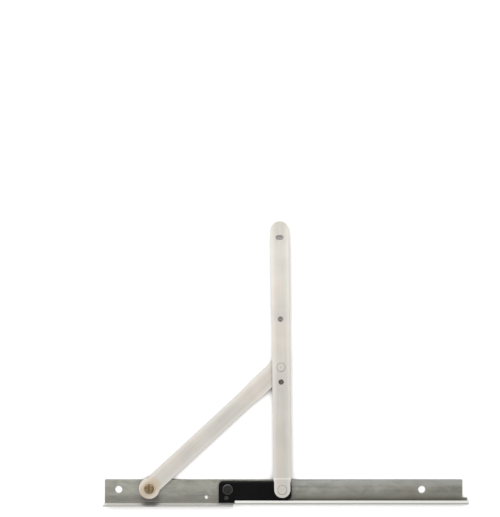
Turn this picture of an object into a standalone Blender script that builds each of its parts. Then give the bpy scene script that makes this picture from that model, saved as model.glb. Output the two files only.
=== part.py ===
"""Friction stay hinge for a side-hung window: track, sliding shoe, sash arm and support arm.

The track lies on its back on z = 0 with its length along X, from the fixed pivot towards the shoe's closed end.
Y points from the lip towards the arms, and Z out of the sill. The hinge is drawn fully open.
Dimensions are in millimetres, and MM turns them into Blender's metres.
"""

import math

import bmesh
import bpy

MM = 0.001

# Track: a bent strip with a lip that stands up at one end and is curled over the shoe's run.
TRACK_LENGTH = 336.5
TRACK_WIDTH = 22.4
SHEET = 1.3
LIP_HEIGHT = 10.0
STRAIGHT_LIP_LENGTH = 121.8
CURL_TOP = 6.5
CURL_WIDTH = 4.4
CURL_RADIUS = 2.6
BEND_RADIUS = 1.8
LIP_OVERRUN = 4.5
RELIEF_SLIT = 1.4
RELIEF_SLIT_LOW = 2.4
EDGE_BREAK = 0.25

# Screw holes in the track, as distances from its pivot end and from its middle line.
MAIN_HOLE_RADIUS = 3.6
MAIN_HOLE_Y = 1.8
FIRST_HOLE_X = 12.8
LAST_HOLE_X = 298.5
SLOT_HOLE_X = 161.7
SLOT_HOLE_WIDTH = 5.0
SLOT_HOLE_LENGTH = 8.0
LIP_HOLE_X = 95.3
LIP_HOLE_Y = -5.4
LIP_HOLE_RADIUS = 2.1

# Linkage: A is the pivot on the track, B the elbow between the arms, C the pivot on the shoe.
PIVOT_Y = 4.2
PIVOT_A_FROM_END = 42.4
SUPPORT_LINK = 167.8
SASH_LINK = 114.0
OPEN_ANGLE = math.radians(90.6)

# Arms: flat strips, the sash arm lying one level above the support arm. The support arm flares towards its
# elbow, and the sash arm's narrower eye is set up by a small step.
ARM_THICKNESS = 2.2
SUPPORT_ARM_Z = 3.0
SASH_ARM_Z = 6.5
SUPPORT_HALF_WIDTH = 7.8
SUPPORT_EYE_RADIUS = 9.8
SUPPORT_FLARE_START = 118.0
SUPPORT_FLARE_END = 138.0
SUPPORT_FLARE_HALF_WIDTH = 8.7
SUPPORT_TIP_RADIUS = 8.0
SASH_HALF_WIDTH = 8.2
SASH_TIP_HALF_WIDTH = 8.6
SASH_TAPER_START = 150.0
SASH_TAPER_END = 172.0
SASH_EYE_RADIUS = 7.5
SASH_NECK_START = 6.6
SASH_NECK_END = 9.4
SASH_STEP_START = 9.7
SASH_STEP_END = 10.9
SASH_EYE_RISE = 0.5
SASH_ARM_LENGTH = 250.0
ARM_EDGE = 0.3
SASH_HOLE_RADIUS = 2.5
SASH_HOLES_X = (100.2, 158.7)
TIP_HOLE_X = 234.7
TIP_HOLE_WIDTH = 4.2
TIP_HOLE_LENGTH = 7.2

# Rivets, and the room that a moving fit and a touching pair keep.
GAP = 0.3
RIVET_RADIUS = 2.6
RIVET_HEAD_DEPTH = 0.85
RIVET_HEAD_PROUD = 0.05
COUNTERBORE_DEPTH = 1.1
SHOE_RIVET_HEAD = 4.2
ELBOW_RIVET_HEAD = 3.9
DIMPLE_RADIUS = 0.9
DIMPLE_DEPTH = 0.5

# Pivot A: a slotted brass stud in a flanged bush.
STUD_RADIUS = 3.6
STUD_HEAD_RADIUS = 4.4
STUD_HEAD_TOP = 7.6
STUD_CROWN = 0.75
STUD_BOTTOM = 0.1
STUD_SLOT_WIDTH = 1.6
STUD_SLOT_DEPTH = 0.9
BUSH_RADIUS = 4.8
BUSH_FLANGE_RADIUS = 5.7
BUSH_FLANGE_TOP = 5.95
BUSH_FLANGE_EDGE = 0.2
CLENCH_TOP = 0.45
BACK_RECESS_RADIUS = 5.5
BACK_RECESS_DEPTH = 0.75

# Washers under the arms, and the clenched ends of the rivets below them.
TRACK_WASHER_RADIUS = 8.4
ELBOW_WASHER_RADIUS = 7.2
ELBOW_BACK_WASHER_RADIUS = 5.6
ELBOW_BACK_WASHER_LOW = 2.3
SHOE_WASHER_RADIUS = 7.0
ELBOW_TAIL_RADIUS = 4.2
ELBOW_TAIL_TOP = 2.0
ELBOW_TAIL_LOW = 1.6
SHOE_TAIL_RADIUS = 3.9
SHOE_TAIL_TOP = 2.7
SHOE_TAIL_LOW = 2.25

# Shoe: a moulding with a steel plate in it, a hook under the curl and a brake set by a screw.
SHOE_BACK = 59.4
SHOE_FRONT = 8.8
SHOE_TOP = 5.3
SHOE_LOW_Y = -6.3
SHOE_HIGH_Y = 10.1
SHOE_CORNER = 3.8
SHOE_EDGE = 0.4
HOOK_EDGE = 0.25
TONGUE_TOP = 3.4
TONGUE_Y = -9.6
TONGUE_LAP = 1.5
TONGUE_LIFT = 0.05
HOOK_LENGTH = 14.4
HOOK_TOP = 4.9
HOOK_FOOT_Y = -8.0
HOOK_TAIL_Y = -2.6
HOOK_CHAMFER = 1.1
HOOK_LEDGE_TOP = 2.9
HOOK_GROOVE = 0.7
HOOK_GROOVE_DEPTH = 1.4
HOOK_GROOVE_REACH = 3.2
HOOK_RIVET_X = -52.2
HOOK_RIVET_Y = -4.9
HOOK_RIVET_RADIUS = 1.4
HOOK_RIVET_HEAD_RADIUS = 2.2
HOOK_RIVET_HEAD_LOW = 4.4
HOOK_RIVET_TAIL_RADIUS = 2.1
HOOK_RIVET_TAIL_TOP = 1.9
PLATE_BACK = 42.0
PLATE_FRONT = 5.0
PLATE_LOW_Y = -6.3
PLATE_HIGH_Y = 4.3
PLATE_CORNER = 1.2
PLATE_Z = 3.0
PLATE_THICKNESS = 1.0

# Brake: a screw in a threaded insert presses a dished spring on the pad that drags along the track.
SCREW_X = -51.0
SCREW_Y = 3.4
SCREW_HEAD_RADIUS = 4.9
SCREW_HEAD_TOP = 6.0
SCREW_HEAD_LOW = 4.8
SCREW_CROWN = 0.6
SCREW_RADIUS = 1.9
SCREW_END = 3.45
SCREW_SLOT_WIDTH = 1.2
SCREW_SLOT_DEPTH = 0.6
SCREW_SLOT_ANGLE = math.radians(-25)
INSERT_BORE = 2.2
INSERT_RADIUS = 3.3
INSERT_LOW = 3.4
INSERT_TOP = 4.45
BRAKE_SHOULDER = 3.3
SCREW_SEAT = 4.5
SPRING_RADIUS = 4.4
SPRING_LOW = 2.65
SPRING_RISE = 0.25
SPRING_THICKNESS = 0.25
PAD_RADIUS = 4.5
PAD_TOP = 2.35
BRAKE_POCKET_RADIUS = 4.9

WELD = 0.004
MERGE = 0.01
CUT_OVERRUN = 1.0
SHARP_ANGLE = math.radians(35)
ROUND_STEPS = 48
HIDDEN_STEPS = 32
HALF_STEPS = 30
HOLE_STEPS = 28
SEAT_STEPS = 40
SLOT_END_STEPS = 12
QUARTER_STEPS = 5

TRACK_START = -TRACK_LENGTH / 2
TRACK_END = TRACK_LENGTH / 2
LIP_FACE_Y = -TRACK_WIDTH / 2
LIP_INNER_Y = LIP_FACE_Y + SHEET
CURL_START = TRACK_START + STRAIGHT_LIP_LENGTH
SHOE_BOTTOM = SHEET + GAP
SUPPORT_ARM_TOP = SUPPORT_ARM_Z + ARM_THICKNESS
SASH_ARM_TOP = SASH_ARM_Z + ARM_THICKNESS
SASH_EYE_Z = SASH_ARM_Z + SASH_EYE_RISE
SASH_EYE_TOP = SASH_ARM_TOP + SASH_EYE_RISE

PIVOT_A = (TRACK_START + PIVOT_A_FROM_END, PIVOT_Y)
ELBOW_RISE = SASH_LINK * math.sin(OPEN_ANGLE)
ELBOW_RUN = math.sqrt(SUPPORT_LINK**2 - ELBOW_RISE**2)
PIVOT_C = (PIVOT_A[0] + ELBOW_RUN - SASH_LINK * math.cos(OPEN_ANGLE), PIVOT_Y)
SUPPORT_ANGLE = math.atan2(ELBOW_RISE, ELBOW_RUN)


# Scene and materials


def clear_scene():
    for item in list(bpy.data.objects):
        bpy.data.objects.remove(item, do_unlink=True)


def new_collection(name):
    collection = bpy.data.collections.new(name)
    bpy.context.scene.collection.children.link(collection)
    return collection


def new_material(name, colour, metallic, roughness):
    material = bpy.data.materials.new(name)
    material.use_nodes = True
    shader = material.node_tree.nodes["Principled BSDF"]
    shader.inputs["Base Color"].default_value = (*colour, 1.0)
    shader.inputs["Metallic"].default_value = metallic
    shader.inputs["Roughness"].default_value = roughness
    return material


def new_axis(name, x, y, parent=None, turn=0.0):
    """An empty that stands on a joint's axis and carries the pieces that move about it."""
    axis = bpy.data.objects.new(name, None)
    axis.location = (x * MM, y * MM, 0)
    axis.rotation_euler.z = turn
    axis.parent = parent
    PARTS.objects.link(axis)
    return axis


def place(item, parent=None, x=0.0, y=0.0, z=0.0):
    item.parent = parent
    item.location = (x * MM, y * MM, z * MM)
    return item


def finish(item, material):
    item.data.materials.clear()
    item.data.materials.append(material)
    item.data.shade_smooth()
    item.data.set_sharp_from_angle(angle=SHARP_ANGLE)
    return item


# Outlines, as lists of points


def arc(centre_x, centre_y, radius, start, end, steps=QUARTER_STEPS):
    """Points along a circle from one angle to another, both in degrees."""
    points = []
    for step in range(steps + 1):
        angle = math.radians(start + (end - start) * step / steps)
        points.append((centre_x + radius * math.cos(angle), centre_y + radius * math.sin(angle)))
    return points


def circle(x, y, radius, steps=ROUND_STEPS):
    return arc(x, y, radius, 0, 360, steps)[:-1]


def crosswise_slot(x, y, width, length):
    """A round-ended slot that runs across the strip."""
    radius = width / 2
    reach = length / 2 - radius
    far_end = arc(x, y + reach, radius, 0, 180, SLOT_END_STEPS)
    near_end = arc(x, y - reach, radius, 180, 360, SLOT_END_STEPS)
    return far_end + near_end


def shoulder(start, end, low, high, steps=6):
    """Points of a soft change in half width from low at x = start to high at x = end."""
    points = []
    for step in range(steps + 1):
        share = (1 - math.cos(math.pi * step / steps)) / 2
        points.append((start + (end - start) * step / steps, low + (high - low) * share))
    return points


def rounded_box(low_x, high_x, low_y, high_y, radius):
    return (
        arc(high_x - radius, high_y - radius, radius, 0, 90)
        + arc(low_x + radius, high_y - radius, radius, 90, 180)
        + arc(low_x + radius, low_y + radius, radius, 180, 270)
        + arc(high_x - radius, low_y + radius, radius, 270, 360)
    )


# Solids


def prism(name, loops, low, high, collection, edge=0.0):
    """Flat outline, with the loops after the first as holes, filled and extruded from low to high.

    An edge above 0 rounds every rim by that radius, without changing the outline's size.
    """
    curve = bpy.data.curves.new(name, "CURVE")
    curve.dimensions = "2D"
    curve.fill_mode = "BOTH"
    curve.extrude = ((high - low) / 2 - edge) * MM
    curve.bevel_depth = edge * MM
    curve.bevel_resolution = 1
    curve.offset = -edge * MM
    for loop in loops:
        spline = curve.splines.new("POLY")
        spline.points.add(len(loop) - 1)
        for point, (x, y) in zip(spline.points, loop):
            point.co = (x * MM, y * MM, 0, 1)
        spline.use_cyclic_u = True
    outline = bpy.data.objects.new(name + "_outline", curve)
    collection.objects.link(outline)
    evaluated = outline.evaluated_get(bpy.context.evaluated_depsgraph_get())
    mesh = bpy.data.meshes.new_from_object(evaluated)
    mesh.name = name
    bpy.data.objects.remove(outline, do_unlink=True)
    bpy.data.curves.remove(curve)
    shape = bmesh.new()
    shape.from_mesh(mesh)
    bmesh.ops.translate(shape, verts=shape.verts, vec=(0, 0, (high + low) / 2 * MM))
    bmesh.ops.remove_doubles(shape, verts=shape.verts, dist=MERGE * MM)
    bmesh.ops.recalc_face_normals(shape, faces=shape.faces)
    shape.to_mesh(mesh)
    shape.free()
    item = bpy.data.objects.new(name, mesh)
    collection.objects.link(item)
    return item


def set_up_end(item, start, end, rise):
    """Raises the part of a strip below x = start, with a slope between start and end."""
    shape = bmesh.new()
    shape.from_mesh(item.data)
    for x in (start, end):
        everything = shape.verts[:] + shape.edges[:] + shape.faces[:]
        bmesh.ops.bisect_plane(shape, geom=everything, plane_co=(x * MM, 0, 0), plane_no=(1, 0, 0))
    for vertex in shape.verts:
        if vertex.co.x < (start + end) / 2 * MM:
            vertex.co.z += rise * MM
    shape.to_mesh(item.data)
    shape.free()


def turned(name, profile, collection, steps=ROUND_STEPS, closed=False):
    """A turned shape: its (radius, height) profile runs down the outer side and is spun about Z."""
    edges = [(index, index + 1) for index in range(len(profile) - 1)]
    if closed:
        edges.append((len(profile) - 1, 0))
    mesh = bpy.data.meshes.new(name)
    mesh.from_pydata([(radius * MM, 0, height * MM) for radius, height in profile], edges, [])
    item = bpy.data.objects.new(name, mesh)
    collection.objects.link(item)
    spin = item.modifiers.new("spin", "SCREW")
    spin.steps = steps
    spin.render_steps = steps
    spin.use_merge_vertices = True
    spin.merge_threshold = MERGE * MM
    return item


def baked(item):
    """The same object with its modifiers applied, so that it can be shaded or cut."""
    evaluated = item.evaluated_get(bpy.context.evaluated_depsgraph_get())
    mesh = bpy.data.meshes.new_from_object(evaluated)
    mesh.name = item.name
    item.modifiers.clear()
    item.data = mesh
    return item


def cut_clean(item):
    """The object with its cuts applied and the slivers that they leave welded away."""
    mesh = baked(item).data
    shape = bmesh.new()
    shape.from_mesh(mesh)
    bmesh.ops.remove_doubles(shape, verts=shape.verts, dist=WELD * MM)
    bmesh.ops.dissolve_degenerate(shape, edges=shape.edges, dist=WELD * MM)
    bmesh.ops.triangulate(shape, faces=[face for face in shape.faces if len(face.verts) > 4])
    shape.to_mesh(mesh)
    shape.free()
    return item


def crowned_rim(radius, top, crown):
    """Three points that round a head's rim from its flat top down to its side."""
    return [(radius - crown, top), (radius - 0.3 * crown, top - 0.4 * crown), (radius, top - crown)]


def turned_part(name, profile, material, steps=ROUND_STEPS, closed=False):
    return finish(baked(turned(name, profile, PARTS, steps, closed)), material)


def ring(name, inner, outer, low, high, material, steps=HIDDEN_STEPS):
    profile = [(outer, high), (outer, low), (inner, low), (inner, high)]
    return turned_part(name, profile, material, steps, closed=True)


def rivet(name, head_radius, head_top, shank_end, tail_radius, tail_low, material):
    """A rivet with a flush head, a punched centre, a straight shank and an optional clenched tail."""
    head_low = head_top - RIVET_HEAD_DEPTH
    profile = [
        (0, head_top - DIMPLE_DEPTH),
        (DIMPLE_RADIUS, head_top),
        (head_radius - EDGE_BREAK, head_top),
        (head_radius, head_top - EDGE_BREAK),
        (head_radius, head_low),
        (RIVET_RADIUS, head_low),
        (RIVET_RADIUS, shank_end),
    ]
    if tail_radius:
        profile += [(tail_radius, shank_end), (tail_radius, tail_low), (0, tail_low)]
    else:
        profile += [(0, shank_end)]
    return turned_part(name, profile, material)


def cutter_of(item):
    item.hide_render = True
    item.display_type = "WIRE"
    return item


def drill(name, x, y, bores, parent=None, steps=ROUND_STEPS):
    """A cutter for a stepped hole, with one (radius, high, low) for each bore from the top down."""
    profile = [(0, bores[0][1])]
    for radius, high, low in bores:
        profile += [(radius, high), (radius, low)]
    profile.append((0, bores[-1][2]))
    return place(cutter_of(turned(name, profile, CUTTERS, steps)), parent, x, y)


def block_cutter(name, loop, low, high, parent=None):
    return place(cutter_of(prism(name, [loop], low, high, CUTTERS)), parent)


def box_loop(low_x, high_x, low_y, high_y):
    return [(low_x, low_y), (high_x, low_y), (high_x, high_y), (low_x, high_y)]


def boolean(item, cutter, operation="DIFFERENCE"):
    step = item.modifiers.new(cutter.name, "BOOLEAN")
    step.object = cutter
    step.operation = operation
    step.solver = "EXACT"


# Track


def track_base_profile():
    """The strip's section from the bend inwards along the top of the base and back below it."""
    return [
        (TRACK_WIDTH / 2 - EDGE_BREAK, SHEET),
        (TRACK_WIDTH / 2, SHEET - EDGE_BREAK),
        (TRACK_WIDTH / 2, EDGE_BREAK),
        (TRACK_WIDTH / 2 - EDGE_BREAK, 0),
    ]


def track_bend(radius):
    return arc(LIP_FACE_Y + BEND_RADIUS, BEND_RADIUS, radius, 270, 180)


def straight_profile():
    bend_inner = list(reversed(track_bend(BEND_RADIUS - SHEET)))
    top = [
        (LIP_FACE_Y, LIP_HEIGHT - EDGE_BREAK),
        (LIP_FACE_Y + EDGE_BREAK, LIP_HEIGHT),
        (LIP_INNER_Y - EDGE_BREAK, LIP_HEIGHT),
        (LIP_INNER_Y, LIP_HEIGHT - EDGE_BREAK),
    ]
    return track_base_profile() + track_bend(BEND_RADIUS) + top + bend_inner


def curled_profile():
    centre_y = LIP_FACE_Y + CURL_RADIUS
    centre_z = CURL_TOP - CURL_RADIUS
    edge_y = LIP_FACE_Y + CURL_WIDTH
    outer = arc(centre_y, centre_z, CURL_RADIUS, 180, 90)
    nose = [
        (edge_y - EDGE_BREAK, CURL_TOP),
        (edge_y, CURL_TOP - EDGE_BREAK),
        (edge_y, CURL_TOP - SHEET + EDGE_BREAK),
        (edge_y - EDGE_BREAK, CURL_TOP - SHEET),
    ]
    inner = arc(centre_y, centre_z, CURL_RADIUS - SHEET, 90, 180)
    bend_inner = list(reversed(track_bend(BEND_RADIUS - SHEET)))
    return track_base_profile() + track_bend(BEND_RADIUS) + outer + nose + inner + bend_inner


def strip(name, profile, start, end, collection, edge=0.0):
    """A section in Y and Z run along X from start to end."""
    item = prism(name, [profile], start, end, collection, edge)
    item.rotation_euler = (math.radians(90), 0, math.radians(90))
    return item


def track_hole(name, from_end, y, radius):
    """A hole whose upper rim is broken, as punched and deburred."""
    top = SHEET + EDGE_BREAK
    profile = [
        (0, top),
        (radius + 2 * EDGE_BREAK, top),
        (radius, SHEET - EDGE_BREAK),
        (radius, -CUT_OVERRUN),
        (0, -CUT_OVERRUN),
    ]
    return place(cutter_of(turned(name, profile, CUTTERS)), None, TRACK_START + from_end, y)


def track_end_cutter():
    """Beyond the base's end only the curled lip goes on."""
    inside = LIP_FACE_Y + CURL_WIDTH + CUT_OVERRUN
    base = box_loop(TRACK_END, TRACK_END + 2 * LIP_OVERRUN, inside, TRACK_WIDTH)
    return block_cutter("cut_track_base_end", base, -CUT_OVERRUN, CURL_TOP + CUT_OVERRUN)


def build_track(material):
    lap = RELIEF_SLIT / 4
    end = TRACK_END + LIP_OVERRUN
    track = strip("track", curled_profile(), CURL_START - lap, end, PARTS)
    straight = cutter_of(
        strip("join_straight_lip", straight_profile(), TRACK_START, CURL_START + lap, CUTTERS)
    )
    boolean(track, straight, "UNION")
    half_slit = RELIEF_SLIT / 2
    slit = box_loop(CURL_START - half_slit, CURL_START + half_slit, LIP_FACE_Y - CUT_OVERRUN, 0)
    cutters = [block_cutter("cut_relief_slit", slit, RELIEF_SLIT_LOW, LIP_HEIGHT + CUT_OVERRUN)]
    cutters.append(track_end_cutter())
    cutters.append(track_hole("cut_first_hole", FIRST_HOLE_X, MAIN_HOLE_Y, MAIN_HOLE_RADIUS))
    cutters.append(track_hole("cut_last_hole", LAST_HOLE_X, MAIN_HOLE_Y, MAIN_HOLE_RADIUS))
    cutters.append(track_hole("cut_lip_hole", LIP_HOLE_X, LIP_HOLE_Y, LIP_HOLE_RADIUS))
    slot = crosswise_slot(TRACK_START + SLOT_HOLE_X, MAIN_HOLE_Y, SLOT_HOLE_WIDTH, SLOT_HOLE_LENGTH)
    cutters.append(block_cutter("cut_slot_hole", slot, -CUT_OVERRUN, SHEET + CUT_OVERRUN))
    stud_bores = [
        (STUD_RADIUS + GAP, SHEET + CUT_OVERRUN, BACK_RECESS_DEPTH),
        (BACK_RECESS_RADIUS, BACK_RECESS_DEPTH, -CUT_OVERRUN),
    ]
    cutters.append(drill("cut_stud_hole", *PIVOT_A, stud_bores))
    for cutter in cutters:
        boolean(track, cutter)
    return finish(cut_clean(track), material)


# Pivot A and the support arm


def build_stud(brass, steel):
    head_low = BUSH_FLANGE_TOP + GAP
    profile = [(0, STUD_HEAD_TOP)]
    profile += crowned_rim(STUD_HEAD_RADIUS, STUD_HEAD_TOP, STUD_CROWN)
    profile += [
        (STUD_HEAD_RADIUS, head_low),
        (STUD_RADIUS, head_low),
        (STUD_RADIUS, STUD_BOTTOM),
        (0, STUD_BOTTOM),
    ]
    stud = place(baked(turned("adjuster_stud", profile, PARTS)), None, *PIVOT_A)
    half = STUD_SLOT_WIDTH / 2
    reach = STUD_HEAD_RADIUS + CUT_OVERRUN
    slot = box_loop(PIVOT_A[0] - half, PIVOT_A[0] + half, PIVOT_A[1] - reach, PIVOT_A[1] + reach)
    slot_low = STUD_HEAD_TOP - STUD_SLOT_DEPTH
    boolean(stud, block_cutter("cut_stud_slot", slot, slot_low, STUD_HEAD_TOP + CUT_OVERRUN))
    finish(stud, brass)
    clench_outer = BACK_RECESS_RADIUS - GAP
    clench = ring("stud_clench_ring", STUD_RADIUS + GAP, clench_outer, STUD_BOTTOM, CLENCH_TOP, steel)
    place(clench, None, *PIVOT_A)
    washer_top = SUPPORT_ARM_Z - GAP
    washer = ring("track_pivot_washer", STUD_RADIUS + GAP, TRACK_WASHER_RADIUS, SHEET + GAP, washer_top, ACETAL)
    place(washer, None, *PIVOT_A)


def support_arm_outline():
    """A strip with a large round eye at x = 0 that flares towards its elbow end at x = SUPPORT_LINK."""
    meet = math.degrees(math.asin(SUPPORT_HALF_WIDTH / SUPPORT_EYE_RADIUS))
    eye = arc(0, 0, SUPPORT_EYE_RADIUS, meet, 360 - meet, HALF_STEPS)
    flare = shoulder(SUPPORT_FLARE_START, SUPPORT_FLARE_END, SUPPORT_HALF_WIDTH, SUPPORT_FLARE_HALF_WIDTH)
    flare.append((SUPPORT_LINK - SUPPORT_TIP_RADIUS, SUPPORT_FLARE_HALF_WIDTH))
    lower = [(x, -y) for x, y in flare]
    elbow = arc(SUPPORT_LINK, 0, SUPPORT_TIP_RADIUS, -80, 80, HALF_STEPS)
    return eye + lower + elbow + flare[::-1]


def build_support_arm(axis, material, painted):
    loops = [
        support_arm_outline(),
        circle(0, 0, BUSH_RADIUS + GAP, SEAT_STEPS),
        circle(SUPPORT_LINK, 0, RIVET_RADIUS + GAP, HOLE_STEPS),
    ]
    arm = prism("support_arm", loops, SUPPORT_ARM_Z, SUPPORT_ARM_TOP, PARTS, ARM_EDGE)
    finish(place(arm, axis), material)
    flange_low = SUPPORT_ARM_TOP + GAP
    bore = STUD_RADIUS + GAP
    profile = [
        (BUSH_FLANGE_RADIUS - BUSH_FLANGE_EDGE, BUSH_FLANGE_TOP),
        (BUSH_FLANGE_RADIUS, BUSH_FLANGE_TOP - BUSH_FLANGE_EDGE),
        (BUSH_FLANGE_RADIUS, flange_low),
        (BUSH_RADIUS, flange_low),
        (BUSH_RADIUS, SUPPORT_ARM_Z),
        (bore, SUPPORT_ARM_Z),
        (bore, BUSH_FLANGE_TOP),
    ]
    place(turned_part("pivot_bush", profile, painted, closed=True), axis)


def build_elbow_lower(axis, steel):
    """The half of the elbow rivet that stays with the support arm, and its washers."""
    bore = RIVET_RADIUS + GAP
    washer_top = SASH_ARM_Z - GAP
    washer = ring("elbow_washer", bore, ELBOW_WASHER_RADIUS, SUPPORT_ARM_TOP + GAP, washer_top, ACETAL)
    place(washer, axis, SUPPORT_LINK)
    back_top = SUPPORT_ARM_Z - GAP
    back = ring("elbow_back_washer", bore, ELBOW_BACK_WASHER_RADIUS, ELBOW_BACK_WASHER_LOW, back_top, steel)
    place(back, axis, SUPPORT_LINK)
    tail = [
        (0, washer_top),
        (RIVET_RADIUS, washer_top),
        (RIVET_RADIUS, ELBOW_TAIL_TOP),
        (ELBOW_TAIL_RADIUS, ELBOW_TAIL_TOP),
        (ELBOW_TAIL_RADIUS, ELBOW_TAIL_LOW + EDGE_BREAK),
        (ELBOW_TAIL_RADIUS - EDGE_BREAK, ELBOW_TAIL_LOW),
        (0, ELBOW_TAIL_LOW),
    ]
    place(turned_part("elbow_rivet_tail", tail, steel, HIDDEN_STEPS), axis, SUPPORT_LINK)


# Sash arm


def sash_arm_outline():
    """A strip with a round tip, a slight taper to its middle and a necked round eye at x = 0."""
    neck = shoulder(SASH_NECK_START, SASH_NECK_END, SASH_EYE_RADIUS, SASH_HALF_WIDTH)
    taper = shoulder(SASH_TAPER_START, SASH_TAPER_END, SASH_HALF_WIDTH, SASH_TIP_HALF_WIDTH)
    sides = neck + taper
    lower = [(x, -y) for x, y in sides]
    eye = arc(0, 0, SASH_EYE_RADIUS, 90, 270, HALF_STEPS)
    tip = arc(SASH_ARM_LENGTH - SASH_TIP_HALF_WIDTH, 0, SASH_TIP_HALF_WIDTH, -90, 90, HALF_STEPS)
    return eye + lower + tip + sides[::-1]


def build_sash_arm(axis, material, painted):
    loops = [
        sash_arm_outline(),
        circle(0, 0, RIVET_RADIUS + GAP, HOLE_STEPS),
        circle(SASH_LINK, 0, RIVET_RADIUS + GAP, HOLE_STEPS),
        crosswise_slot(TIP_HOLE_X, 0, TIP_HOLE_WIDTH, TIP_HOLE_LENGTH),
    ]
    loops += [circle(x, 0, SASH_HOLE_RADIUS, HOLE_STEPS) for x in SASH_HOLES_X]
    arm = place(prism("sash_arm", loops, SASH_ARM_Z, SASH_ARM_TOP, PARTS, ARM_EDGE), axis)
    set_up_end(arm, SASH_STEP_START, SASH_STEP_END, SASH_EYE_RISE)
    seats = (
        ("cut_seat_shoe_pivot", 0, SHOE_RIVET_HEAD, SASH_EYE_TOP),
        ("cut_seat_elbow", SASH_LINK, ELBOW_RIVET_HEAD, SASH_ARM_TOP),
    )
    for name, x, head, top in seats:
        bore = [(head + GAP, top + CUT_OVERRUN, top - COUNTERBORE_DEPTH)]
        boolean(arm, drill(name, x, 0, bore, axis, SEAT_STEPS))
    finish(cut_clean(arm), material)
    head_top = SASH_ARM_TOP + RIVET_HEAD_PROUD
    place(rivet("elbow_rivet", ELBOW_RIVET_HEAD, head_top, SASH_ARM_Z, 0, 0, painted), axis, SASH_LINK)


# Shoe


def shoe_outline():
    low_x, high_x = -SHOE_BACK, SHOE_FRONT
    return (
        arc(high_x - SHOE_CORNER, SHOE_HIGH_Y - PIVOT_Y - SHOE_CORNER, SHOE_CORNER, 0, 90)
        + arc(low_x + SHOE_CORNER, SHOE_HIGH_Y - PIVOT_Y - SHOE_CORNER, SHOE_CORNER, 90, 180)
        + [(low_x, SHOE_LOW_Y - PIVOT_Y)]
        + arc(high_x - SHOE_CORNER, SHOE_LOW_Y - PIVOT_Y + SHOE_CORNER, SHOE_CORNER, 270, 360)
    )


def hook_cutters(axis):
    """The moulding is cut down to a ledge under the hook's tail and right through at its foot."""
    start = -SHOE_BACK - CUT_OVERRUN
    end = -SHOE_BACK + HOOK_LENGTH + GAP
    low_y = TONGUE_Y - PIVOT_Y - CUT_OVERRUN
    top = SHOE_TOP + CUT_OVERRUN
    ledge = box_loop(start, end, low_y, HOOK_TAIL_Y - PIVOT_Y + GAP)
    foot = box_loop(start, end, low_y, HOOK_FOOT_Y - PIVOT_Y + GAP)
    tail_top = HOOK_RIVET_TAIL_TOP + GAP
    bores = [(HOOK_RIVET_RADIUS + GAP, SHOE_TOP, tail_top), (HOOK_RIVET_TAIL_RADIUS + GAP, tail_top, 0)]
    return [
        block_cutter("cut_hook_ledge", ledge, HOOK_LEDGE_TOP, top, axis),
        block_cutter("cut_hook_foot", foot, 0, top + CUT_OVERRUN, axis),
        drill("cut_hook_rivet", HOOK_RIVET_X, HOOK_RIVET_Y - PIVOT_Y, bores, axis, HOLE_STEPS),
    ]


def shoe_cutters(axis):
    pocket = rounded_box(
        -PLATE_BACK - GAP, PLATE_FRONT + GAP, PLATE_LOW_Y - GAP, PLATE_HIGH_Y + GAP, PLATE_CORNER + GAP
    )
    top = SHOE_TOP + CUT_OVERRUN
    brake_bores = [
        (SCREW_HEAD_RADIUS + GAP, top, SCREW_SEAT),
        (INSERT_RADIUS + GAP, SCREW_SEAT, BRAKE_SHOULDER),
        (BRAKE_POCKET_RADIUS, BRAKE_SHOULDER, 0),
    ]
    return [
        block_cutter("cut_plate_pocket", pocket, 0, PLATE_Z + PLATE_THICKNESS + GAP, axis),
        drill("cut_shoe_pivot", 0, 0, [(RIVET_RADIUS + GAP, top, 0)], axis, HIDDEN_STEPS),
        drill("cut_brake_bore", SCREW_X, SCREW_Y - PIVOT_Y, brake_bores, axis),
    ]


def build_shoe_body(axis, black):
    body = place(prism("shoe_body", [shoe_outline()], SHOE_BOTTOM, SHOE_TOP, PARTS, SHOE_EDGE), axis)
    tongue_start = -SHOE_BACK + SHOE_EDGE
    tongue_end = SHOE_FRONT - SHOE_CORNER
    lap = SHOE_LOW_Y - PIVOT_Y + TONGUE_LAP
    tongue = box_loop(tongue_start, tongue_end, TONGUE_Y - PIVOT_Y, lap)
    join = block_cutter("join_tongue", tongue, SHOE_BOTTOM + TONGUE_LIFT, TONGUE_TOP, axis)
    boolean(body, join, "UNION")
    for cutter in hook_cutters(axis) + shoe_cutters(axis):
        boolean(body, cutter)
    return finish(cut_clean(body), black)


def hook_section():
    """The hook in Y and Z: a tail on the moulding's ledge and a foot in the lip's corner."""
    tail_y = HOOK_TAIL_Y - PIVOT_Y
    foot_y = HOOK_FOOT_Y - PIVOT_Y
    tip_y = TONGUE_Y - PIVOT_Y
    return [
        (tail_y, HOOK_LEDGE_TOP + GAP),
        (tail_y, HOOK_TOP),
        (tip_y + HOOK_CHAMFER, HOOK_TOP),
        (tip_y, HOOK_TOP - HOOK_CHAMFER),
        (tip_y, SHOE_BOTTOM),
        (foot_y, SHOE_BOTTOM),
        (foot_y, HOOK_LEDGE_TOP + GAP),
    ]


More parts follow.
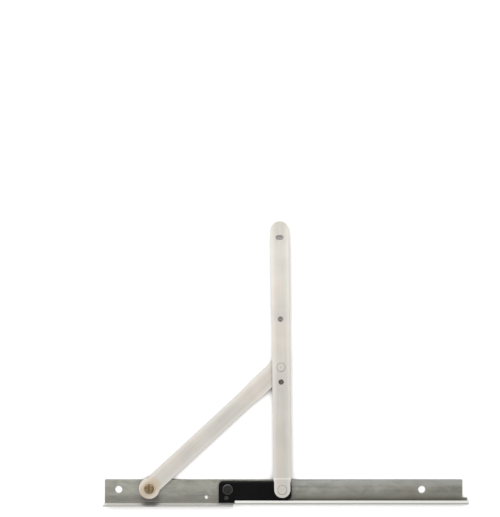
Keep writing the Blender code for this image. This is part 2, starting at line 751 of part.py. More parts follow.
def build_hook(axis, black, steel):
    hook = strip("shoe_hook", hook_section(), -SHOE_BACK, -SHOE_BACK + HOOK_LENGTH, PARTS, HOOK_EDGE)
    hook.parent = axis
    rivet_y = HOOK_RIVET_Y - PIVOT_Y
    seat = HOOK_RIVET_HEAD_LOW - GAP
    bores = [
        (HOOK_RIVET_HEAD_RADIUS + GAP, HOOK_TOP + CUT_OVERRUN, seat),
        (HOOK_RIVET_RADIUS + GAP, seat, 0),
    ]
    boolean(hook, drill("cut_hook_seat", HOOK_RIVET_X, rivet_y, bores, axis, HIDDEN_STEPS))
    low_y = TONGUE_Y - PIVOT_Y - CUT_OVERRUN
    high_y = TONGUE_Y - PIVOT_Y + HOOK_GROOVE_REACH
    for number in (1, 2):
        low_x = -SHOE_BACK + HOOK_LENGTH * number / 3 - HOOK_GROOVE / 2
        groove = box_loop(low_x, low_x + HOOK_GROOVE, low_y, high_y)
        groove_low = HOOK_TOP - HOOK_GROOVE_DEPTH
        name = f"cut_hook_groove_{number}"
        boolean(hook, block_cutter(name, groove, groove_low, HOOK_TOP + CUT_OVERRUN, axis))
    finish(cut_clean(hook), black)
    profile = [
        (0, HOOK_TOP),
        (HOOK_RIVET_HEAD_RADIUS - EDGE_BREAK, HOOK_TOP),
        (HOOK_RIVET_HEAD_RADIUS, HOOK_TOP - EDGE_BREAK),
        (HOOK_RIVET_HEAD_RADIUS, HOOK_RIVET_HEAD_LOW),
        (HOOK_RIVET_RADIUS, HOOK_RIVET_HEAD_LOW),
        (HOOK_RIVET_RADIUS, HOOK_RIVET_TAIL_TOP),
        (HOOK_RIVET_TAIL_RADIUS, HOOK_RIVET_TAIL_TOP),
        (HOOK_RIVET_TAIL_RADIUS, SHOE_BOTTOM),
        (0, SHOE_BOTTOM),
    ]
    place(turned_part("hook_rivet", profile, steel, HIDDEN_STEPS), axis, HOOK_RIVET_X, rivet_y)


def build_shoe_pivot(axis, painted, steel):
    head_top = SASH_EYE_TOP + RIVET_HEAD_PROUD
    pin = rivet(
        "shoe_rivet", SHOE_RIVET_HEAD, head_top, SHOE_TAIL_TOP, SHOE_TAIL_RADIUS, SHOE_TAIL_LOW, painted
    )
    place(pin, axis)
    bore = RIVET_RADIUS + GAP
    washer_top = SASH_EYE_Z - GAP
    washer = ring("shoe_pivot_washer", bore, SHOE_WASHER_RADIUS, SHOE_TOP + GAP, washer_top, ACETAL)
    place(washer, axis)
    outline = rounded_box(-PLATE_BACK, PLATE_FRONT, PLATE_LOW_Y, PLATE_HIGH_Y, PLATE_CORNER)
    loops = [outline, circle(0, 0, bore, HIDDEN_STEPS)]
    plate = prism("shoe_plate", loops, PLATE_Z, PLATE_Z + PLATE_THICKNESS, PARTS)
    finish(place(plate, axis), steel)


def build_brake(axis, brass, steel, screw_steel):
    """The pad that drags on the track, with the spring, insert and screw that press it down."""
    screw_y = SCREW_Y - PIVOT_Y
    insert = ring("brake_insert", INSERT_BORE, INSERT_RADIUS, INSERT_LOW, INSERT_TOP, brass)
    place(insert, axis, SCREW_X, screw_y)
    dish = [
        (SPRING_RADIUS, SPRING_LOW + SPRING_THICKNESS),
        (SPRING_RADIUS, SPRING_LOW),
        (INSERT_BORE, SPRING_LOW + SPRING_RISE),
        (INSERT_BORE, SPRING_LOW + SPRING_RISE + SPRING_THICKNESS),
    ]
    spring = turned_part("brake_spring", dish, steel, HIDDEN_STEPS, closed=True)
    place(spring, axis, SCREW_X, screw_y)
    pad_profile = [(0, PAD_TOP), (PAD_RADIUS, PAD_TOP), (PAD_RADIUS, SHOE_BOTTOM), (0, SHOE_BOTTOM)]
    pad = turned_part("brake_pad", pad_profile, ACETAL, HIDDEN_STEPS)
    place(pad, axis, SCREW_X, screw_y)
    profile = [(0, SCREW_HEAD_TOP)]
    profile += crowned_rim(SCREW_HEAD_RADIUS, SCREW_HEAD_TOP, SCREW_CROWN)
    profile += [
        (SCREW_HEAD_RADIUS, SCREW_HEAD_LOW),
        (SCREW_RADIUS, SCREW_HEAD_LOW),
        (SCREW_RADIUS, SCREW_END),
        (0, SCREW_END),
    ]
    screw = place(baked(turned("friction_screw", profile, PARTS)), axis, SCREW_X, screw_y)
    half = SCREW_SLOT_WIDTH / 2
    reach = SCREW_HEAD_RADIUS + CUT_OVERRUN
    slot_loop = box_loop(-reach, reach, -half, half)
    slot = block_cutter("cut_screw_slot", slot_loop, -SCREW_SLOT_DEPTH, CUT_OVERRUN)
    place(slot, axis, SCREW_X, screw_y, SCREW_HEAD_TOP)
    slot.rotation_euler.z = SCREW_SLOT_ANGLE
    boolean(screw, slot)
    finish(screw, screw_steel)


clear_scene()
PARTS = new_collection("friction_stay_hinge")
CUTTERS = new_collection("cutters")

TRACK_STEEL = new_material("track_steel", (0.34, 0.34, 0.31), 0.9, 0.42)
ARM_COAT = new_material("arm_coat", (0.62, 0.58, 0.52), 0.35, 0.45)
RIVET_COAT = new_material("rivet_coat", (0.60, 0.57, 0.51), 0.4, 0.42)
PLAIN_STEEL = new_material("plain_steel", (0.45, 0.45, 0.44), 0.95, 0.4)
DARK_STEEL = new_material("dark_steel", (0.05, 0.05, 0.045), 0.8, 0.4)
BRASS = new_material("brass", (0.62, 0.45, 0.2), 0.95, 0.35)
SHOE_BLACK = new_material("shoe_black", (0.012, 0.012, 0.014), 0.0, 0.45)
ACETAL = new_material("acetal", (0.75, 0.73, 0.66), 0.0, 0.4)

support_axis = new_axis("support_arm_axis", *PIVOT_A, turn=SUPPORT_ANGLE)
shoe_axis = new_axis("shoe_axis", *PIVOT_C)
sash_axis = new_axis("sash_arm_axis", 0, 0, shoe_axis, OPEN_ANGLE)

build_track(TRACK_STEEL)
build_stud(BRASS, PLAIN_STEEL)
build_support_arm(support_axis, ARM_COAT, RIVET_COAT)
build_elbow_lower(support_axis, PLAIN_STEEL)
build_sash_arm(sash_axis, ARM_COAT, RIVET_COAT)
build_shoe_body(shoe_axis, SHOE_BLACK)
build_hook(shoe_axis, SHOE_BLACK, DARK_STEEL)
build_shoe_pivot(shoe_axis, RIVET_COAT, PLAIN_STEEL)
build_brake(shoe_axis, BRASS, PLAIN_STEEL, DARK_STEEL)
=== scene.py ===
"""Looks, light and camera for the friction stay hinge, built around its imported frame.

Lengths and places are in metres, in the frame's own axes.
"""

import math

import bpy
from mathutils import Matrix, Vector


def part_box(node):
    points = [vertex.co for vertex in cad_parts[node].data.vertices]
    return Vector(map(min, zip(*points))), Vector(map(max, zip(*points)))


# Camera, straight above the arms and off the middle of the track. Its sensor is in millimetres.
CAMERA_PLACE = (-0.0316, 0.2194, 0.650)
CAMERA_CLIP = 0.01
VIEW_HEIGHT = 0.4875
SENSOR_HEIGHT = 24.0

# One large soft lamp over the arms, in a pale room that is dimmer round the horizon.
KEY_PLACE = (-0.22, 0.50, 1.00)
KEY_TARGET = (-0.03, 0.12, 0.0)
KEY_WIDTH = 1.25
KEY_WATTS = 15.0
KEY_COLOUR = (1.0, 0.99, 0.975)
ROOM_RISE = (0.25, 0.75)
ROOM_HORIZON = 0.40
ROOM_OVERHEAD = 0.80

FLOOR_SIZE = 12.0
FLOOR_GAP = 0.0003
PAPER_GREY = (0.93, 0.93, 0.925)
PAPER_WHITE = (0.955, 0.955, 0.95)
PAPER_FAINT_SHADE = (0.40, 0.395, 0.38)
PAPER_CONTACT_SHADE = (0.16, 0.145, 0.125)
SHADE_REACH = 0.014

EDGE_RADIUS = 0.0005
FLAT_FACE_WEIGHT = 100

# Directions that the arms' steel was rolled in, from +X.
SASH_ARM_ANGLE = math.radians(90.6)
SUPPORT_ARM_ANGLE = math.radians(42.79)

# Below, a pair of places or distances says where a mask is 0 and where it reaches 1.

# The arms' coating.
ARM_LINES = (14.0, 620.0, 620.0)
ARM_FINE_LINES = (70.0, 2600.0, 2600.0)
ARM_COOL_END = (0.045, 0.012)
ARM_OILED = (0.0130, 0.0075)
ARM_OIL_WAVER = 0.008
# Painted sheen: each arm lighter toward both long sides, where its rounded edges catch the light.
ARM_SIDE_SHEEN = (0.0030, 0.0085)
ARM_CROWN = 3.5
COAT_RELIEF = 0.00004
COAT_WARM = (0.425, 0.386, 0.349)
COAT_COOL = (0.394, 0.386, 0.357)
COAT_DARK = (0.336, 0.317, 0.291)
COAT_PALE = (0.470, 0.450, 0.417)
COAT_OIL = (0.385, 0.300, 0.195)
COAT_PIT = (0.230, 0.205, 0.175)
# Painted shade in recesses, under other pieces and between the arms.
COAT_RECESS_SHADE = (0.160, 0.138, 0.112)
# Worn edges, and the painted sheen toward the arms' long sides.
COAT_WEAR_AND_SHEEN = (0.600, 0.585, 0.550)

# The track's steel.
TRACK_LINES = (9.0, 520.0, 520.0)
TRACK_FINE_LINES = (55.0, 2400.0, 2400.0)
TRACK_MARKS = (330.0, 46.0, 46.0)
TRACK_MARKS_TURN = 0.12
TRACK_WAVER = 0.003
TRACK_RELIEF = 0.00005
STEEL_DARK = (0.168, 0.167, 0.144)
STEEL_LIGHT = (0.286, 0.287, 0.257)
STEEL_STREAK = (0.322, 0.324, 0.300)
STEEL_WARM = (0.222, 0.208, 0.160)
STEEL_MARK = (0.130, 0.126, 0.110)
# The next nine colours are painted light and shade: on the foot, the run, the lip and its curl, below the
# pivot's eye and in recesses. The foot's and the eye's shade are partly a greasy stain.
STEEL_SHADE_AND_GREASE = (0.118, 0.114, 0.097)
STEEL_RUN_LIGHT = (0.345, 0.350, 0.335)
STEEL_LIP_LIGHT = (0.620, 0.618, 0.590)
STEEL_CURL_HIGHLIGHT = (0.640, 0.636, 0.606)
STEEL_WALL_HIGHLIGHT = (0.860, 0.858, 0.825)
STEEL_DARK_REFLECTION = (0.200, 0.196, 0.176)
STEEL_OUTER_SHADE = (0.270, 0.270, 0.262)
STEEL_EYE_SHADOW = (0.050, 0.046, 0.042)
STEEL_RECESS_SHADE = (0.120, 0.113, 0.092)
STEEL_EDGE = (0.600, 0.600, 0.575)

# Bands of the track. FOOT and the SIDE and BACK ones lie along Y, RUN_START along X, and the rest along Z.
# FOOT darkens the track toward its lip: painted shade of the lip, partly a greasy stain.
TRACK_FOOT = (0.0025, -0.0080)
RUN_START = (-0.010, 0.030)
# The RUN side bands paint light on the right-hand run toward its open edge, and the curl's shade toward the
# lip.
RUN_LIT_SIDE = (0.0035, 0.0085)
RUN_SHADED_SIDE = (0.0060, -0.0010)
LIP_RISE = (0.0020, 0.0034)
LIP_BACK = (-0.0110, -0.0106)
RIM_RISE = (0.0082, 0.0090)
RIM_SIDE = (-0.0102, -0.0100)

# Painted light on the lip and its curl, stripe by stripe: the whole lip lighter, a highlight on the curl's
# inner top, a highlight on the wall, a dark reflection line, and shade on the outer side that faces away from
# the lamp. Each stripe's colour, share, and the Y places of its edges.
LIP_STRIPES = (
    (STEEL_LIP_LIGHT, 0.9, ()),
    (STEEL_CURL_HIGHLIGHT, 0.9, ((-0.0064, -0.0070), (-0.0092, -0.0086))),
    (STEEL_WALL_HIGHLIGHT, 1.0, ((-0.0102, -0.0100), (-0.0094, -0.0097))),
    (STEEL_DARK_REFLECTION, 0.9, ((-0.0088, -0.0091), (-0.0098, -0.0096))),
    (STEEL_OUTER_SHADE, 0.5, ((-0.0098, -0.0102),)),
)

# Painted shadow below the fixed pivot's eye, partly a greasy stain: its middle from the pivot, its shape and
# its edge.
EYE_SHADOW_SHIFT = (0.001, -0.0112)
EYE_SHADOW_STRETCH = (0.62, 1.0, 1.0)
EYE_SHADOW_EDGE = (0.0085, 0.0040)
EYE_SHADOW_WAVER = 0.002

# Turned metal.
# Painted shade in slots and recesses.
TURNED_SLOT_SHADE = (0.020, 0.018, 0.014)
TURNED_EDGE = 0.0003
TURNED_SCRATCHES = (2600.0, 260.0, 1.0)
TURNED_SCRATCHES_TURN = 0.6
TURNED_RELIEF = 0.00003
RINGS_PER_METRE = 1500.0
BLACK_RINGS_PER_METRE = 1300.0
BUSH_RINGS_PER_METRE = 900.0
# Painted highlight ring round the friction screw's head.
SCREW_HIGHLIGHT_RIM = 0.0038
HIGHLIGHT_RIM_WIDTH = 0.0006

# Moulded plastic.
MOULDED_EDGE = 0.0004
MOULDED_RELIEF = 0.00005


class Shader:
    """A material's node tree, with short calls for the nodes that the surfaces share."""

    def __init__(self, name):
        self.material = bpy.data.materials.new(name)
        self.material.use_nodes = True
        self.tree = self.material.node_tree
        self.surface = self.tree.nodes["Principled BSDF"]
        self.place = self.add("ShaderNodeTexCoord").outputs["Object"]

    def add(self, kind, **settings):
        node = self.tree.nodes.new(kind)
        for key, value in settings.items():
            setattr(node, key, value)
        return node

    def feed(self, socket, value):
        if isinstance(value, bpy.types.NodeSocket):
            self.tree.links.new(value, socket)
        elif value is not None:
            socket.default_value = value

    def set(self, name, value):
        """Gives one of the surface's own sockets a value or a link."""
        self.feed(self.surface.inputs[name], value)

    def maths(self, operation, first, second=None, clamp=False):
        node = self.add("ShaderNodeMath", operation=operation, use_clamp=clamp)
        self.feed(node.inputs[0], first)
        self.feed(node.inputs[1], second)
        return node.outputs[0]

    def plus(self, first, second):
        return self.maths("ADD", first, second)

    def minus(self, first, second):
        return self.maths("SUBTRACT", first, second)

    def times(self, first, second):
        return self.maths("MULTIPLY", first, second)

    def mapped(self, stretch=(1.0, 1.0, 1.0), turn=0.0, start=(0.0, 0.0, 0.0)):
        """The object's own coordinates, measured from a start, turned about Z and then stretched."""
        shift = self.add("ShaderNodeVectorMath", operation="SUBTRACT")
        self.feed(shift.inputs[0], self.place)
        shift.inputs[1].default_value = start
        spin = self.add("ShaderNodeVectorRotate", rotation_type="Z_AXIS")
        self.feed(spin.inputs["Vector"], shift.outputs[0])
        spin.inputs["Angle"].default_value = -turn
        scale = self.add("ShaderNodeVectorMath", operation="MULTIPLY")
        self.feed(scale.inputs[0], spin.outputs[0])
        scale.inputs[1].default_value = stretch
        return scale.outputs[0]

    def axis(self, name, vector=None):
        split = self.add("ShaderNodeSeparateXYZ")
        self.feed(split.inputs[0], vector or self.place)
        return split.outputs[name]

    def radius(self, vector):
        """How far a point is from the upright line where the vector's X and Y are zero."""
        flat = self.add("ShaderNodeVectorMath", operation="MULTIPLY")
        self.feed(flat.inputs[0], vector)
        flat.inputs[1].default_value = (1.0, 1.0, 0.0)
        length = self.add("ShaderNodeVectorMath", operation="LENGTH")
        self.feed(length.inputs[0], flat.outputs[0])
        return length.outputs["Value"]

    def noise(self, scale, vector=None, detail=3.0, roughness=0.5, distortion=0.0):
        node = self.add("ShaderNodeTexNoise")
        self.feed(node.inputs["Vector"], vector or self.place)
        node.inputs["Scale"].default_value = scale
        node.inputs["Detail"].default_value = detail
        node.inputs["Roughness"].default_value = roughness
        node.inputs["Distortion"].default_value = distortion
        return node.outputs["Fac"]

    def span(self, value, low, high, to_low=0.0, to_high=1.0):
        """A value's range from low to high, spread over another range and held at its ends."""
        node = self.add("ShaderNodeMapRange", interpolation_type="SMOOTHSTEP")
        self.feed(node.inputs["Value"], value)
        node.inputs["From Min"].default_value = low
        node.inputs["From Max"].default_value = high
        node.inputs["To Min"].default_value = to_low
        node.inputs["To Max"].default_value = to_high
        return node.outputs[0]

    def mix(self, factor, first, second):
        node = self.add("ShaderNodeMix", data_type="RGBA")
        self.feed(node.inputs["Factor"], factor)
        for socket, colour in ((node.inputs[6], first), (node.inputs[7], second)):
            self.feed(socket, (*colour, 1.0) if isinstance(colour, tuple) else colour)
        return node.outputs[2]

    def over(self, base, colour, mask, share=1.0):
        """The base with a colour laid over it, up to a share of it where the mask is 1."""
        return self.mix(self.times(mask, share), base, colour)

    def edges(self, radius=EDGE_RADIUS, strength=6.0):
        """1 on worn edges and 0 on open faces."""
        bevel = self.add("ShaderNodeBevel", samples=6)
        bevel.inputs["Radius"].default_value = radius
        geometry = self.add("ShaderNodeNewGeometry")
        match = self.add("ShaderNodeVectorMath", operation="DOT_PRODUCT")
        self.feed(match.inputs[0], bevel.outputs[0])
        self.feed(match.inputs[1], geometry.outputs["Normal"])
        away = self.minus(1.0, match.outputs["Value"])
        return self.maths("MULTIPLY", away, strength, clamp=True)

    def recess(self, distance, low, high):
        """1 in corners and under other pieces, where painted shade goes, and 0 in the open."""
        node = self.add("ShaderNodeAmbientOcclusion", samples=8)
        node.inputs["Distance"].default_value = distance
        return self.span(node.outputs["AO"], low, high, 1.0, 0.0)

    def bump(self, height, distance, strength=1.0):
        node = self.add("ShaderNodeBump")
        node.inputs["Strength"].default_value = strength
        node.inputs["Distance"].default_value = distance
        self.feed(node.inputs["Height"], height)
        self.set("Normal", node.outputs[0])


# Surfaces


def coated_arm(name, angle, start, oiled=False):
    """Pale satin coating over rolled steel: lengthwise lines, warm and cool patches, rubbed edges, a painted
    sheen toward both long sides, and painted shade in recesses.

    The arm runs from its start at an angle. An oiled one has a stain of old oil round its start.
    """
    s = Shader(name)
    along = s.mapped((1.0, 1.0, 1.0), angle, start)
    across = s.axis("Y", along)
    lines = s.noise(1.0, s.mapped(ARM_LINES, angle, start), detail=5.0, roughness=0.62)
    fine = s.noise(1.0, s.mapped(ARM_FINE_LINES, angle, start), detail=2.0)
    patches = s.noise(34.0, along, detail=4.0, roughness=0.55, distortion=0.6)
    tints = s.noise(17.0, s.mapped((1.0, 2.2, 1.0), angle, start), detail=2.0)
    pits = s.span(s.noise(850.0, along, detail=2.0), 0.70, 0.78)
    base = s.mix(s.span(tints, 0.38, 0.62), COAT_WARM, COAT_COOL)
    base = s.over(base, COAT_DARK, s.span(patches, 0.35, 0.70), share=0.55)
    base = s.over(base, COAT_PALE, s.span(lines, 0.30, 0.75), share=0.45)
    base = s.over(base, COAT_PIT, pits, share=0.35)
    base = s.over(base, COAT_COOL, s.span(s.axis("X", along), *ARM_COOL_END), share=0.45)
    if oiled:
        reach = s.plus(s.radius(along), s.times(s.minus(patches, 0.5), ARM_OIL_WAVER))
        base = s.over(base, COAT_OIL, s.span(reach, *ARM_OILED), share=0.60)
    # Painted sheen: lighter toward both long sides of the arm.
    base = s.over(base, COAT_WEAR_AND_SHEEN, s.span(s.maths("ABSOLUTE", across), *ARM_SIDE_SHEEN), share=0.40)
    # Painted shade where the arm lies in recesses and under other pieces.
    base = s.over(base, COAT_RECESS_SHADE, s.recess(0.004, 0.35, 0.85), share=0.35)
    base = s.over(base, COAT_WEAR_AND_SHEEN, s.edges(), share=0.5)
    s.set("Base Color", base)
    s.set("Metallic", 0.12)
    s.set("Specular IOR Level", 0.28)
    s.set("Roughness", s.span(s.plus(lines, patches), 0.7, 1.3, to_low=0.34, to_high=0.52))
    grain = s.minus(s.plus(s.times(lines, 0.6), s.times(fine, 0.4)), s.times(pits, 0.5))
    crown = s.times(s.times(across, across), ARM_CROWN)
    s.bump(s.minus(s.times(grain, COAT_RELIEF), crown), distance=1.0)
    return s.material


def rolled_track(pivot):
    """Dull rolled steel: long streaks and zinc mottling, with painted light and shade: a lighter lip with
    highlights and dark reflection lines, shade toward the lip and a shadow below the pivot's eye that are
    partly a greasy stain, and shade in recesses.
    """
    s = Shader("track_steel")
    side = s.axis("Y")
    height = s.axis("Z")
    lines = s.noise(1.0, s.mapped(TRACK_LINES), detail=6.0, roughness=0.62)
    fine = s.noise(1.0, s.mapped(TRACK_FINE_LINES), detail=2.0)
    mottle = s.noise(62.0, s.mapped((1.0, 1.6, 1.0)), detail=5.0, roughness=0.6, distortion=0.8)
    broad = s.noise(13.0, detail=2.0)
    marks = s.span(s.noise(1.0, s.mapped(TRACK_MARKS, TRACK_MARKS_TURN), detail=3.0), 0.66, 0.78)
    base = s.mix(s.span(mottle, 0.30, 0.72), STEEL_DARK, STEEL_LIGHT)
    base = s.over(base, STEEL_STREAK, s.span(lines, 0.32, 0.72), share=0.5)
    base = s.over(base, STEEL_WARM, s.span(broad, 0.40, 0.68), share=0.4)
    base = s.over(base, STEEL_MARK, marks, share=0.4)

    wavy_side = s.plus(side, s.times(s.minus(mottle, 0.5), TRACK_WAVER))
    foot = s.span(wavy_side, *TRACK_FOOT)
    run = s.span(s.axis("X"), *RUN_START)
    # Painted shade of the lip, partly a greasy stain: darker toward the lip.
    base = s.over(base, STEEL_SHADE_AND_GREASE, foot, share=0.75)
    # Painted light and shade on the right-hand run: lighter toward the open edge, darker toward the curl.
    base = s.over(base, STEEL_RUN_LIGHT, s.times(run, s.span(wavy_side, *RUN_LIT_SIDE)), share=0.55)
    base = s.over(base, STEEL_SHADE_AND_GREASE, s.times(run, s.span(wavy_side, *RUN_SHADED_SIDE)), share=0.22)

    lip = s.times(s.span(height, *LIP_RISE), s.span(side, *LIP_BACK))
    for colour, share, places in LIP_STRIPES:
        stripe = lip
        for place in places:
            stripe = s.times(stripe, s.span(side, *place))
        base = s.over(base, colour, stripe, share)
    # Painted dark reflection line along the top of the lip's outer side.
    rim = s.times(s.span(height, *RIM_RISE), s.span(side, *RIM_SIDE))
    base = s.over(base, STEEL_DARK_REFLECTION, rim, share=0.8)

    # Painted shadow below the fixed pivot's eye, partly a greasy stain.
    below_eye = (pivot[0] + EYE_SHADOW_SHIFT[0], pivot[1] + EYE_SHADOW_SHIFT[1], 0.0)
    eye_shadow = s.plus(s.radius(s.mapped(EYE_SHADOW_STRETCH, 0.0, below_eye)), s.times(mottle, EYE_SHADOW_WAVER))
    base = s.over(base, STEEL_EYE_SHADOW, s.span(eye_shadow, *EYE_SHADOW_EDGE), share=0.80)
    # Painted shade in recesses: by the lip and under the arms and shoe.
    track_shade = s.times(s.recess(0.009, 0.30, 0.90), s.span(lip, 0.0, 1.0, to_low=0.65, to_high=0.45))
    base = s.over(base, STEEL_RECESS_SHADE, track_shade)
    base = s.over(base, STEEL_EDGE, s.edges(), share=0.8)

    s.set("Base Color", base)
    s.set("Metallic", s.span(s.plus(foot, lip), 0.0, 1.0, to_low=0.80, to_high=0.35))
    s.set("Roughness", s.span(s.plus(lines, mottle), 0.7, 1.35, to_low=0.34, to_high=0.54))
    grain = s.plus(s.times(lines, 0.7), s.times(fine, 0.3))
    s.bump(s.minus(grain, s.times(marks, 0.4)), TRACK_RELIEF, strength=0.7)
    return s.material


def turned_metal(
    name, centre, light, dark, edge, metallic=1.0, rings_per_metre=RINGS_PER_METRE, slot_shade=TURNED_SLOT_SHADE, rim=None
):
    """Metal turned on a lathe: fine rings about its centre, tarnish, scratches, and painted shade in its slot
    and recesses.

    A rim is the distance from the centre where its painted highlight ring starts.
    """
    s = Shader(name)
    centred = s.mapped((1.0, 1.0, 0.0), 0.0, (centre[0], centre[1], 0.0))
    distance = s.radius(centred)
    wobble = s.noise(700.0, centred, detail=2.0)
    rings = s.maths("SINE", s.plus(s.times(distance, rings_per_metre * math.tau), wobble))
    tarnish = s.noise(420.0, centred, detail=4.0, roughness=0.65)
    scratches = s.noise(1.0, s.mapped(TURNED_SCRATCHES, TURNED_SCRATCHES_TURN), detail=2.0)
    base = s.mix(s.span(tarnish, 0.32, 0.68), light, dark)
    base = s.over(base, edge, s.span(scratches, 0.62, 0.72), share=0.35)
    base = s.over(base, edge, s.edges(TURNED_EDGE), share=0.7)
    # Painted highlight: a lighter ring from the rim outwards.
    if rim:
        base = s.over(base, edge, s.span(distance, rim, rim + HIGHLIGHT_RIM_WIDTH), share=0.5)
    # Painted shade in slots and recesses.
    base = s.over(base, slot_shade, s.recess(0.002, 0.35, 0.9), share=0.8)
    s.set("Base Color", base)
    s.set("Metallic", metallic)
    s.set("Roughness", s.span(tarnish, 0.3, 0.7, to_low=0.26, to_high=0.46))
    s.bump(s.plus(s.times(rings, 0.2), tarnish), TURNED_RELIEF, strength=0.8)
    return s.material


def moulded_plastic(name, light, dark, rubbed, grain, roughness, specular):
    """Moulded plastic with a spark-eroded grain, soft sheen patches and rubbed edges."""
    s = Shader(name)
    cells = s.add("ShaderNodeTexVoronoi", feature="SMOOTH_F1")
    s.feed(cells.inputs["Vector"], s.place)
    cells.inputs["Scale"].default_value = grain
    cloud = s.noise(70.0, detail=4.0, roughness=0.6)
    dust = s.span(s.noise(1900.0, detail=2.0), 0.66, 0.80)
    base = s.mix(s.span(cloud, 0.35, 0.68), dark, light)
    base = s.over(base, rubbed, dust, share=0.12)
    base = s.over(base, rubbed, s.edges(MOULDED_EDGE), share=0.6)
    s.set("Base Color", base)
    s.set("Roughness", s.span(cloud, 0.3, 0.7, to_low=roughness, to_high=roughness + 0.14))
    s.set("Specular IOR Level", specular)
    s.bump(s.plus(cells.outputs["Distance"], s.noise(3400.0, detail=1.0)), MOULDED_RELIEF, strength=0.5)
    return s.material


def middle(node):
    """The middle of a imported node's box."""
    low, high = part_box(node)
    return tuple((Vector(low) + Vector(high)) / 2)


def paint(frame):
    """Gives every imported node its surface."""
    stud = middle("adjuster_stud")
    screw = middle("friction_screw")
    sash = coated_arm("sash_arm_coat", SASH_ARM_ANGLE, middle("shoe_rivet"))
    support = coated_arm("support_arm_coat", SUPPORT_ARM_ANGLE, stud, oiled=True)
    brass = turned_metal(
        "worn_brass", stud, light=(0.270, 0.200, 0.112), dark=(0.135, 0.096, 0.050), edge=(0.40, 0.31, 0.19)
    )
    plain = turned_metal(
        "plain_steel",
        middle("elbow_rivet"),
        light=(0.48, 0.48, 0.46),
        dark=(0.33, 0.33, 0.31),
        edge=(0.66, 0.66, 0.64),
    )
    insert = turned_metal(
        "insert_brass", screw, light=(0.50, 0.37, 0.20), dark=(0.33, 0.23, 0.11), edge=(0.62, 0.48, 0.28)
    )
    spring = turned_metal(
        "spring_steel", screw, light=(0.42, 0.42, 0.41), dark=(0.28, 0.28, 0.27), edge=(0.6, 0.6, 0.58)
    )
    black_screw = turned_metal(
        "black_steel",
        screw,
        light=(0.022, 0.022, 0.020),
        dark=(0.009, 0.009, 0.008),
        edge=(0.13, 0.13, 0.125),
        metallic=0.8,
        rings_per_metre=BLACK_RINGS_PER_METRE,
        rim=SCREW_HIGHLIGHT_RIM,
    )
    black_pin = turned_metal(
        "black_pin_steel",
        middle("hook_rivet"),
        light=(0.040, 0.040, 0.037),
        dark=(0.020, 0.020, 0.018),
        edge=(0.12, 0.12, 0.115),
        metallic=0.8,
        rings_per_metre=BLACK_RINGS_PER_METRE,
    )
    bush = turned_metal(
        "bush_coat",
        stud,
        light=(0.47, 0.380, 0.275),
        dark=(0.37, 0.295, 0.205),
        edge=(0.56, 0.48, 0.37),
        metallic=0.2,
        rings_per_metre=BUSH_RINGS_PER_METRE,
        slot_shade=(0.20, 0.155, 0.105),
    )
    black = moulded_plastic(
        "shoe_plastic",
        light=(0.0026, 0.0026, 0.0032),
        dark=(0.0012, 0.0012, 0.0015),
        rubbed=(0.012, 0.012, 0.013),
        grain=1500.0,
        roughness=0.46,
        specular=0.06,
    )
    pale = moulded_plastic(
        "acetal",
        light=(0.66, 0.64, 0.57),
        dark=(0.56, 0.54, 0.47),
        rubbed=(0.74, 0.72, 0.66),
        grain=900.0,
        roughness=0.38,
        specular=0.5,
    )
    looks = {
        "track": rolled_track(stud),
        "sash_arm": sash,
        "elbow_rivet": sash,
        "shoe_rivet": sash,
        "support_arm": support,
        "pivot_bush": bush,
        "adjuster_stud": brass,
        "stud_clench_ring": plain,
        "elbow_back_washer": plain,
        "elbow_rivet_tail": plain,
        "shoe_plate": plain,
        "brake_insert": insert,
        "brake_spring": spring,
        "friction_screw": black_screw,
        "hook_rivet": black_pin,
        "shoe_body": black,
        "shoe_hook": black,
        "track_pivot_washer": pale,
        "elbow_washer": pale,
        "shoe_pivot_washer": pale,
        "brake_pad": pale,
    }
    for name, item in frame["nodes"].items():
        item.data.materials.clear()
        item.data.materials.append(looks[name])


def flatten_shading(frame):
    """Keeps the flat faces of the rounded pieces flat in the light."""
    for item in frame["nodes"].values():
        even = item.modifiers.new("even_flats", "WEIGHTED_NORMAL")
        even.keep_sharp = True
        even.weight = FLAT_FACE_WEIGHT


# Studio


def add_floor():
    """White paper, with a faint shade round the object and a dark one where the two nearly touch."""
    bpy.ops.mesh.primitive_plane_add(size=FLOOR_SIZE, location=(0, 0, -FLOOR_GAP))
    floor = bpy.context.object
    floor.name = "floor"
    s = Shader("floor_paper")
    paper = s.mix(s.span(s.noise(900.0, detail=2.0), 0.3, 0.7), PAPER_GREY, PAPER_WHITE)
    paper = s.over(paper, PAPER_FAINT_SHADE, s.recess(SHADE_REACH, 0.55, 0.97), share=0.30)
    paper = s.over(paper, PAPER_CONTACT_SHADE, s.recess(SHADE_REACH, 0.28, 0.50))
    s.set("Base Color", paper)
    s.set("Roughness", 0.9)
    s.set("Specular IOR Level", 0.1)
    floor.data.materials.append(s.material)


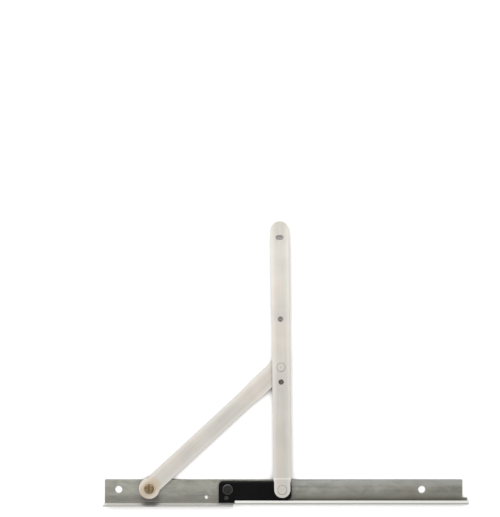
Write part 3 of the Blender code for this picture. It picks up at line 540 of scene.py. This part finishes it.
def add_key_light():
    lamp = bpy.data.lights.new("key_light", "AREA")
    lamp.shape = "RECTANGLE"
    lamp.size = KEY_WIDTH
    lamp.size_y = KEY_WIDTH
    lamp.energy = KEY_WATTS
    lamp.color = KEY_COLOUR
    item = bpy.data.objects.new("key_light", lamp)
    item.location = KEY_PLACE
    aim = Vector(KEY_TARGET) - Vector(KEY_PLACE)
    item.rotation_euler = aim.to_track_quat("-Z", "Y").to_euler()
    bpy.context.scene.collection.objects.link(item)


def add_world():
    """A pale room, dim round the horizon and brighter overhead."""
    world = bpy.data.worlds.new("pale_room")
    world.use_nodes = True
    tree = world.node_tree
    background = tree.nodes["Background"]
    place = tree.nodes.new("ShaderNodeTexCoord")
    split = tree.nodes.new("ShaderNodeSeparateXYZ")
    ramp = tree.nodes.new("ShaderNodeMapRange")
    ramp.inputs["From Min"].default_value = ROOM_RISE[0]
    ramp.inputs["From Max"].default_value = ROOM_RISE[1]
    ramp.inputs["To Min"].default_value = ROOM_HORIZON
    ramp.inputs["To Max"].default_value = ROOM_OVERHEAD
    tree.links.new(place.outputs["Generated"], split.inputs[0])
    tree.links.new(split.outputs["Z"], ramp.inputs["Value"])
    tree.links.new(ramp.outputs[0], background.inputs["Strength"])
    background.inputs["Color"].default_value = (1.0, 1.0, 1.0, 1.0)
    bpy.context.scene.world = world


def add_camera():
    camera = bpy.data.cameras.new("camera")
    camera.sensor_fit = "VERTICAL"
    camera.sensor_height = SENSOR_HEIGHT
    camera.lens = SENSOR_HEIGHT * CAMERA_PLACE[2] / VIEW_HEIGHT
    camera.clip_start = CAMERA_CLIP
    item = bpy.data.objects.new("camera", camera)
    item.location = CAMERA_PLACE
    bpy.context.scene.collection.objects.link(item)
    bpy.context.scene.camera = item


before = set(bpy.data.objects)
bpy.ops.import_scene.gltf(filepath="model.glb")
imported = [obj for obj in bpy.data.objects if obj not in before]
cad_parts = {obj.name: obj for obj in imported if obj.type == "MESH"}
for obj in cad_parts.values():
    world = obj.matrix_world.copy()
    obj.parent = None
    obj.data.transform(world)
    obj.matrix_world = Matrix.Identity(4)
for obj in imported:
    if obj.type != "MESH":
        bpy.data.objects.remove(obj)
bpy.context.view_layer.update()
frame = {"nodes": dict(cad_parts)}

paint(frame)
flatten_shading(frame)
add_floor()
add_key_light()
add_world()
add_camera()
bpy.context.scene.view_settings.view_transform = "Standard"
